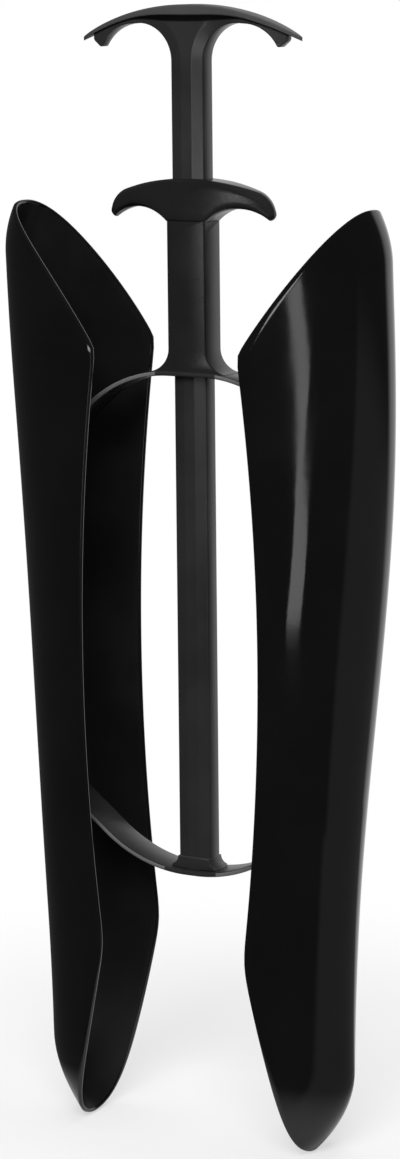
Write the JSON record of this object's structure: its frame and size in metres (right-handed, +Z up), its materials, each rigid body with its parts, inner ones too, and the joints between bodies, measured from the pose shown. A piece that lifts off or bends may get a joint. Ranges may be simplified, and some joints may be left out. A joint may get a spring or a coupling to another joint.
{
  "type": "boot shaper",
  "caption": "Boot shaper: long trough-shaped shells hang on spring bows and draw together when a sliding finger grip is squeezed up towards a palm plate.",
  "frame": {"origin": "on the rod's axis, at the height of the shells' lower tips", "axes": "+Z up along the rod to the palm plate, +X from the rod to the right shell, -Y towards the shin side that the picture shows"},
  "size_m": [0.1492, 0.0431, 0.4],
  "materials": {
    "shell": "smooth black injection-moulded plastic with a low gloss",
    "handle": "satin black moulded plastic",
    "bow": "satin black springy plastic strip",
    "steel": "plain zinc-coated steel"
  },
  "bodies": {
    "rod": {"handle_rod": "handle", "lower_bow": "bow", "foot_screw": "steel"},
    "sleeve": {"grip_sleeve": "handle", "upper_bow": "bow"},
    "upper_arm_left": {"upper_arm_left": "bow"},
    "upper_arm_right": {"upper_arm_right": "bow"},
    "lower_arm_left": {"lower_arm_left": "bow"},
    "lower_arm_right": {"lower_arm_right": "bow"},
    "shell_left": {"shell_left": "shell", "upper_pin_left": "steel", "lower_pin_left": "steel"},
    "shell_right": {"shell_right": "shell", "upper_pin_right": "steel", "lower_pin_right": "steel"}
  },
  "joints": [
    {"name": "sleeve_slide", "type": "slide", "parent": "rod", "child": "sleeve", "axis": [0, 0, 1], "range_m": [0, 0.024], "stiffness_N_per_m": 600},
    {"name": "upper_flex_left", "type": "hinge", "parent": "sleeve", "child": "upper_arm_left", "pos_m": [-0.017, 0, 0.27295], "axis": [0, -1, 0], "range_deg": [0, 16]},
    {"name": "upper_flex_right", "type": "hinge", "parent": "sleeve", "child": "upper_arm_right", "pos_m": [0.017, 0, 0.27295], "axis": [0, 1, 0], "range_deg": [0, 16]},
    {"name": "lower_flex_left", "type": "hinge", "parent": "rod", "child": "lower_arm_left", "pos_m": [-0.015, 0, 0.09864], "axis": [0, 1, 0], "range_deg": [0, 18.7]},
    {"name": "lower_flex_right", "type": "hinge", "parent": "rod", "child": "lower_arm_right", "pos_m": [0.015, 0, 0.09864], "axis": [0, -1, 0], "range_deg": [0, 18.7]},
    {"name": "shell_hinge_left", "type": "hinge", "parent": "lower_arm_left", "child": "shell_left", "pos_m": [-0.05757, 0, 0.1265], "axis": [0, -1, 0], "range_deg": [0, 18.7]},
    {"name": "shell_hinge_right", "type": "hinge", "parent": "lower_arm_right", "child": "shell_right", "pos_m": [0.05757, 0, 0.1265], "axis": [0, 1, 0], "range_deg": [0, 18.7]}
  ],
  "couplings": [
    {"joint": "upper_flex_left", "follows": "sleeve_slide", "rad_per_m": 11.568},
    {"joint": "upper_flex_right", "follows": "sleeve_slide", "rad_per_m": 11.568},
    {"joint": "lower_flex_left", "follows": "sleeve_slide", "rad_per_m": 13.533},
    {"joint": "lower_flex_right", "follows": "sleeve_slide", "rad_per_m": 13.533},
    {"joint": "shell_hinge_left", "follows": "sleeve_slide", "rad_per_m": 13.533},
    {"joint": "shell_hinge_right", "follows": "sleeve_slide", "rad_per_m": 13.533}
  ]
}
